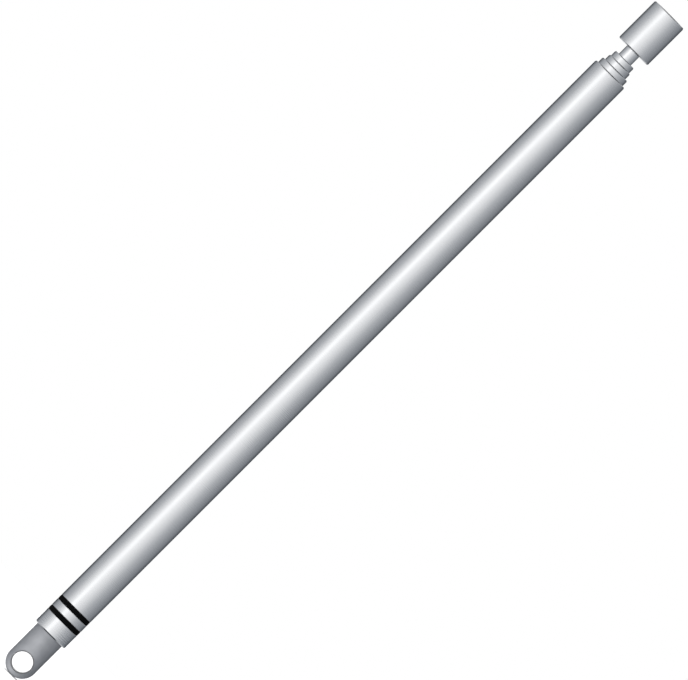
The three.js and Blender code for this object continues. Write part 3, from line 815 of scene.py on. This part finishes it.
def barrel_tube():
    bore = STAGE_R[0] + BORE_GAP
    packing_bore, seat = bore + PACKING_STEP, BARREL_R - BAND_SEAT
    nut_foot = span("barrel_gland_nut")[1] - SEAT_GAP
    band_top = UPPER_BAND_TOP + BAND_GAP
    packing_foot = nut_foot + SEAT_GAP - PACKING_DEPTH
    thread_r, thread_top = SPIGOT_THREAD_R + BARREL_THREAD_GAP, SPIGOT_THREAD_TOP + BARREL_THREAD_OVER
    install(turned("barrel_tube", [
        (thread_r, BARREL_FOOT, EDGE), (seat, BARREL_FOOT, EDGE), (seat, band_top),
        (BARREL_R, band_top, EDGE), (BARREL_R, BARREL_TOP, LEAD, LEAD_IN),
        (BARREL_MOUTH_R, BARREL_TOP, EDGE), (BARREL_MOUTH_R, nut_foot),
        (packing_bore, nut_foot, FINE_EDGE), (packing_bore, packing_foot), (bore, packing_foot, EDGE),
        (bore, thread_top, EDGE), (thread_r, thread_top)]), "barrel_tube")


def barrel_gland_nut():
    outer, foot, top = span("barrel_gland_nut")
    body = turned("barrel_gland_nut", [(STAGE_R[0] + NUT_BORE_GAP, foot, EDGE), (outer, foot, EDGE),
                                       (outer, top, EDGE), *wiper_groove(STAGE_R[0], top)], spacing=CLOSE)
    install(cut(body, *pin_holes(NUT_R[0], outer, top)), "barrel_gland_nut")


barrel_tube()
barrel_gland_nut()
packing("barrel", STAGE_R[0])

# ------------------------------------------------------------------ sliding stages


def sliding_wall(stage, radius):
    """The outside of a sliding tube: foot collar, seat of the foot guide, groove of the stop ring."""
    collar, foot, _ = span(stage + "_tube")
    _, guide_foot, guide_top = span(stage + "_foot_guide")
    _, stop_foot, stop_top = span(stage + "_stop_ring")
    wall = [(collar, foot, WIDE_EDGE)]
    for lip, low, high, depth in ((collar, guide_foot, guide_top, FOOT_GROOVE),
                                  (radius, stop_foot, stop_top, STOP_GROOVE)):
        low, high = low - BAND_GAP, high + BAND_GAP
        wall += [(lip, low, NICK), (radius - depth, low), (radius - depth, high), (radius, high, NICK)]
    return wall


def foot_guide(stage, radius):
    """A band of guide strip with a narrow gap where its ends meet."""
    node = stage + "_foot_guide"
    outer, foot, top = span(node)
    inner = radius - FOOT_GROOVE + BAND_GAP
    install(turned(node, [(inner, foot, NICK), (outer, foot, GUIDE_EDGE), (outer, top, GUIDE_EDGE),
                          (inner, top, NICK)], sweep=GUIDE_SWEEP), node)


def stop_ring(stage, radius):
    """A round-edged snap ring with a gap."""
    node = stage + "_stop_ring"
    outer, foot, top = span(node)
    inner = radius - STOP_GROOVE + BAND_GAP
    install(turned(node, [(inner, foot, STOP_ROUND_IN), (outer, foot, STOP_ROUND_OUT),
                          (outer, top, STOP_ROUND_OUT), (inner, top, STOP_ROUND_IN)],
                   sweep=STOP_SWEEP, steps=SOFT), node)


def sleeve(number):
    stage = STAGES[number - 1]
    _, foot, end = span(stage + "_tube")
    radius, shaft = STAGE_R[number - 1], STAGE_R[number]
    bore, lip = shaft + BORE_GAP, shaft - FOOT_LIP_REACH
    packing_bore = bore + PACKING_STEP
    install(turned(stage + "_tube", [
        (lip, foot, EDGE), *sliding_wall(stage, radius), (radius, end, EDGE), (packing_bore, end, FINE_EDGE),
        (packing_bore, end - PACKING_DEPTH), (bore, end - PACKING_DEPTH, EDGE), (bore, foot + FOOT_LIP),
        (lip, foot + FOOT_LIP, EDGE)]), stage + "_tube")
    outer, nut_foot, top = span(stage + "_gland_nut")
    skirt, web = radius + BAND_GAP, nut_foot + NUT_SKIRT
    nut = turned(stage + "_gland_nut", [
        (skirt, nut_foot, FINE_EDGE), (outer, nut_foot, EDGE), (outer, top - NUT_LEAD),
        (outer - NUT_LEAD_IN * NUT_ROW, top - NUT_LEAD * (1 - NUT_ROW)), (outer - NUT_LEAD_IN, top),
        *wiper_groove(shaft, top), (shaft + NUT_BORE_GAP, web, NICK), (skirt, web)], spacing=CLOSE)
    land = max(NUT_R[number], shaft + WIPER_GROOVE)
    install(cut(nut, *pin_holes(land, outer - NUT_LEAD_IN, top)), stage + "_gland_nut")
    packing(stage, shaft)
    foot_guide(stage, radius)
    stop_ring(stage, radius)


for number in (1, 2, 3):
    sleeve(number)

# ------------------------------------------------------------------ plunger and head

PLUNGER_R = STAGE_R[3]
_, PLUNGER_FOOT, PLUNGER_TOP = span("plunger_tube")
_, HEAD_FOOT, HEAD_TOP = span("head")
_, STUD_FOOT, STUD_TOP = span("plunger_stud")
BLEED_Z = (span("bleed_screw")[1] + span("bleed_screw")[2]) / 2
SET_SCREW_Z = (span("head_set_screw_1")[1] + span("head_set_screw_1")[2]) / 2
SET_SCREW_HEADINGS = {"head_set_screw_1": 45, "head_set_screw_2": 135}


def plunger_tube():
    install(turned("plunger_tube", [
        (PLUNGER_BORE_R, PLUNGER_FOOT, EDGE), *sliding_wall("plunger", PLUNGER_R),
        (PLUNGER_R, PLUNGER_TOP, EDGE), (PLUNGER_BORE_R, PLUNGER_TOP, EDGE)]), "plunger_tube")


def plunger_stud():
    """A threaded stud on a plain shank, drilled through."""
    shank_r, neck_r, neck_top = PLUNGER_BORE_R - BAND_GAP, STUD_R - STUD_NECK_IN, HEAD_FOOT + STUD_NECK
    shank = turned("plunger_stud", [
        (0, STUD_FOOT), (shank_r, STUD_FOOT, WIDE_EDGE), (shank_r, HEAD_FOOT), (neck_r, HEAD_FOOT),
        (neck_r, neck_top), (0, neck_top)])
    thread = threaded_rod("thread", STUD_R - STUD_CREST, STUD_R, STUD_PITCH, STUD_TOP - HEAD_FOOT,
                          sides=DRILL_SIDES)
    boolean(shank, [place(thread, z=HEAD_FOOT)], "UNION")
    bore = plain_rod("bore", BLEED_BORE_R, STUD_TOP - STUD_FOOT + 2 * THROUGH)
    install(cut(shank, place(bore, z=STUD_FOOT - THROUGH)), "plunger_stud")


def load_thread():
    """Cutters for the tapped hole in the head's end face and for its drill's cone."""
    foot = HEAD_TOP - LOAD_THREAD_DEPTH
    thread = threaded_rod("thread", LOAD_THREAD_R, LOAD_THREAD_R + LOAD_THREAD_CREST, LOAD_THREAD_PITCH,
                          LOAD_THREAD_DEPTH, mouth=LOAD_THREAD_MOUTH, sides=DRILL_SIDES)
    radius = LOAD_THREAD_R - LOAD_TIP_IN
    tip = turned("tip", [(0, 0), (radius, LOAD_TIP), (radius, LOAD_TIP_TOP), (0, LOAD_TIP_TOP)], DRILL_SIDES)
    return place(thread, z=foot + OVERCUT), place(tip, z=foot - LOAD_TIP)


def bleed_bores(socket_top):
    """Cutters for the bleed screw's stepped hole and for the riser that joins it to the stud's socket."""
    outside = BARREL_R + BLEED_CUTTER_OUT
    hole = turned("bleed", [
        (0, 0), (BLEED_BORE_R, 0), (BLEED_BORE_R, BLEED_BORE_END), (BLEED_THREAD_R, BLEED_THREAD_FOOT),
        (BLEED_THREAD_R, BLEED_SEAT_Y), (BLEED_RECESS_R, BLEED_SEAT_Y, EDGE), (BLEED_RECESS_R, outside),
        (0, outside)], DRILL_SIDES)
    riser = plain_rod("riser", BLEED_BORE_R, BLEED_Z - socket_top + THROUGH)
    return place(hole, z=BLEED_Z, heading=90), place(riser, z=socket_top - THROUGH)


def head():
    socket_r, socket_top = STUD_R + BAND_GAP, STUD_TOP + SEAT_GAP
    body = turned("head", [
        (0, socket_top), (socket_r, socket_top), (socket_r, HEAD_FOOT, EDGE),
        (BARREL_R, HEAD_FOOT, FOOT_EDGE), (BARREL_R, HEAD_TOP, LEAD, LEAD_IN),
        (LOAD_THREAD_R + HEAD_ROW, HEAD_TOP), (0, HEAD_TOP)], spacing=CLOSE)
    tools = [*load_thread(), *bleed_bores(socket_top)]
    for heading in SET_SCREW_HEADINGS.values():
        hole = plain_rod("hole", SET_SCREW_R + BAND_GAP, BARREL_R)
        angle = math.radians(heading)
        tools.append(place(hole, SET_SCREW_HOLE_FROM * math.cos(angle), SET_SCREW_HOLE_FROM * math.sin(angle),
                           SET_SCREW_Z, heading))
    install(cut(body, *tools), "head")


def hex_rod(name, radius, length):
    return turned(name, [(0, 0), (radius, 0), (radius, length), (0, length)], 6)


def set_screw(node, heading):
    """A grub screw: thread all along, a cup point, and a hexagon socket in its outer end."""
    start, length = STUD_R + 2 * SEAT_GAP, SET_SCREW_LENGTH
    body = threaded_rod(node, SET_SCREW_R - SET_SCREW_CREST, SET_SCREW_R, SET_SCREW_PITCH, length,
                        sides=SCREW_SIDES)
    socket = hex_rod("socket", SET_SCREW_SOCKET_R, SET_SCREW_SOCKET_CUTTER)
    cup = turned("cup", [(0, SET_SCREW_CUP_DEPTH), (SET_SCREW_CUP_R, -SET_SCREW_CUP_OUT),
                         (0, -SET_SCREW_CUP_OUT)], PIN_SIDES)
    cut(body, place(socket, z=length - SET_SCREW_SOCKET_DEPTH), cup)
    direction = Vector((math.cos(math.radians(heading)), math.sin(math.radians(heading))))
    install(place(body, start * direction.x, start * direction.y, SET_SCREW_Z, heading), node)


def bleed_screw():
    """A threaded shank and a hexagon with broken corners, sunk below the head's surface."""
    length = BLEED_SEAT_Y + SEAT_GAP - BLEED_TIP_Y
    shank = threaded_rod("bleed_screw", BLEED_THREAD_R - BLEED_CREST, BLEED_THREAD_R - BAND_GAP, BLEED_PITCH,
                         length, sides=SCREW_SIDES)
    hexagon = place(hex_rod("hexagon", BLEED_HEX_R, BLEED_HEX_HEIGHT), z=length - BLEED_HEX_SINK)
    corners = [(BLEED_HEX_R + over, height) for over, height in BLEED_HEX_CONE]
    cone = turned("cone", [(0, corners[0][1]), *corners, (0, corners[-1][1])], DRILL_SIDES)
    boolean(hexagon, [place(cone, z=length)], "INTERSECT")
    boolean(shank, [hexagon], "UNION")
    install(place(shank, y=BLEED_TIP_Y, z=BLEED_Z, heading=90), "bleed_screw")


plunger_tube()
plunger_stud()
foot_guide("plunger", PLUNGER_R)
stop_ring("plunger", PLUNGER_R)
head()
for node, heading in SET_SCREW_HEADINGS.items():
    set_screw(node, heading)
bleed_screw()

# ------------------------------------------------------------------ camera, stage and light

VIEW_WIDTH = 1.6257      # metres across the picture at the cylinder
VIEW_AIM = Vector((-0.0007, 0, 1.075))
LENS = 1000.0
FLOOR_DROP = 0.0005
FLOOR_R = 8.0
FLOOR_SIDES = 96
CEILING_POWER = 4.2
CEILING_SPREAD = math.radians(24)
CEILING_TILT = (math.radians(14), math.radians(-28), 0)


def add_camera():
    """Looks along the pin, level, rolled so that the cylinder rises at 45 degrees from lower left."""
    data = bpy.data.cameras.new("camera")
    data.lens = LENS
    distance = LENS / data.sensor_width * VIEW_WIDTH
    data.clip_end = 2 * distance
    camera = bpy.data.objects.new("camera", data)
    right, up = Vector((1, 0, 1)).normalized(), Vector((-1, 0, 1)).normalized()
    back = right.cross(up)
    turn = Matrix((right, up, back)).transposed().to_4x4()
    camera.matrix_world = Matrix.Translation(VIEW_AIM + back * distance) @ turn
    bpy.context.scene.collection.objects.link(camera)
    bpy.context.scene.camera = camera


def add_floor():
    bm = bmesh.new()
    bmesh.ops.create_circle(bm, cap_ends=True, segments=FLOOR_SIDES, radius=FLOOR_R)
    floor = to_object("floor", bm)
    floor.location.z = CAD_BOX[0].z - FLOOR_DROP
    floor.visible_glossy = False
    g = Graph("floor")
    mottle = g.noise(g.place, scale=3, detail=4)
    colour = g.blend(mottle, (0.90, 0.90, 0.90), (0.92, 0.92, 0.92))
    floor.data.materials.append(g.result(colour, g.range(mottle, 0, 1, 0.85, 0.95), mottle, 1e-5))


# Brightness of the studio's walls by direction, in degrees round from the viewer towards +X: at the height
# of the object, and above and below that.
WALLS = [(-180, 1.10), (-173, 0.85), (-164, 0.08), (-147, 0.05), (-120, 0.38), (-84, 0.53), (-44, 1.01),
         (-36, 1.34), (-24, 1.34), (-16, 1.09), (15, 0.86), (51, 0.53), (93, 0.33), (119, 0.26), (147, 0.07),
         (164, 0.08), (173, 0.85), (180, 1.10)]
UPPER_WALLS = [(-180, 0.95), (-150, 0.60), (-110, 0.45), (-30, 1.10), (40, 0.65), (110, 0.35), (150, 0.60),
               (180, 0.95)]
# Brightness beyond the walls, by the sine of the elevation: dark underfoot, then grey; above the walls a dark
# band, then a light overhead.
BEYOND = [(-1, 0.02), (-0.92, 0.02), (-0.87, 0.5), (0, 0.5), (0.2, 0.02), (0.955, 0.02), (0.99, 0.9),
          (1, 0.9)]
# Where each gives way to the next, by the sine of the elevation.
UPPER_FROM, UPPER_TO = 0.32, 0.46
BEYOND_FROM, BEYOND_TO = 0.60, 0.67
# The darker a place in the studio, the bluer it is: red, green and blue are each multiplied by a power of
# its brightness.
SHADE_TINT = (0.085, 0.042, -0.018)


def ramp(t, value, stops):
    """The tinted colour at a place from 0 to 1. Each stop is a place and its brightness."""
    node = t.add("ShaderNodeValToRGB")
    t.join(value, node.inputs["Fac"])
    elements = node.color_ramp.elements
    elements.remove(elements[1])
    for position, level in stops:
        shade = min(level, 1)
        elements.new(position).color = (*(level * shade ** tint for tint in SHADE_TINT), 1)
    elements.remove(elements[0])
    return node.outputs["Color"]


def add_world():
    """White to the camera; to everything else, studio walls with one tall soft light left of the viewer."""
    world = bpy.data.worlds.new("studio")
    world.use_nodes = True
    bpy.context.scene.world = world
    world.node_tree.nodes.clear()
    t = Tree(world.node_tree)
    way = t.split(t.add("ShaderNodeTexCoord").outputs["Generated"])
    turn = t.math("ARCTAN2", way["X"], t.math("MULTIPLY", way["Y"], -1))
    around = t.math("MULTIPLY_ADD", turn, 1 / (2 * math.pi), 0.5)
    upward = t.math("MULTIPLY_ADD", way["Z"], 0.5, 0.5)
    steepness = t.math("ABSOLUTE", way["Z"])
    low = ramp(t, around, [(degrees / 360 + 0.5, level) for degrees, level in WALLS])
    high = ramp(t, around, [(degrees / 360 + 0.5, level) for degrees, level in UPPER_WALLS])
    beyond = ramp(t, upward, [(sine / 2 + 0.5, level) for sine, level in BEYOND])
    rise = t.range(steepness, UPPER_FROM, UPPER_TO, interpolation_type="SMOOTHSTEP")
    leave = t.range(steepness, BEYOND_FROM, BEYOND_TO, interpolation_type="SMOOTHSTEP")
    studio = t.blend(leave, t.blend(rise, low, high), beyond)
    walls, white = t.add("ShaderNodeBackground"), t.add("ShaderNodeBackground")
    t.join(studio, walls.inputs["Color"])
    white.inputs["Color"].default_value = (1, 1, 1, 1)
    choose = t.add("ShaderNodeMixShader")
    seen = t.add("ShaderNodeLightPath").outputs["Is Camera Ray"]
    t.fill(choose.inputs, (seen, walls.outputs["Background"], white.outputs["Background"]))
    t.join(choose.outputs["Shader"], t.add("ShaderNodeOutputWorld").inputs["Surface"])


def add_ceiling_light():
    data = bpy.data.lights.new("ceiling_light", "SUN")
    data.energy = CEILING_POWER
    data.angle = CEILING_SPREAD
    light = bpy.data.objects.new("ceiling_light", data)
    light.rotation_euler = CEILING_TILT
    light.visible_glossy = False
    bpy.context.scene.collection.objects.link(light)


add_camera()
add_floor()
add_world()
add_ceiling_light()
bpy.context.scene.view_settings.view_transform = "Standard"
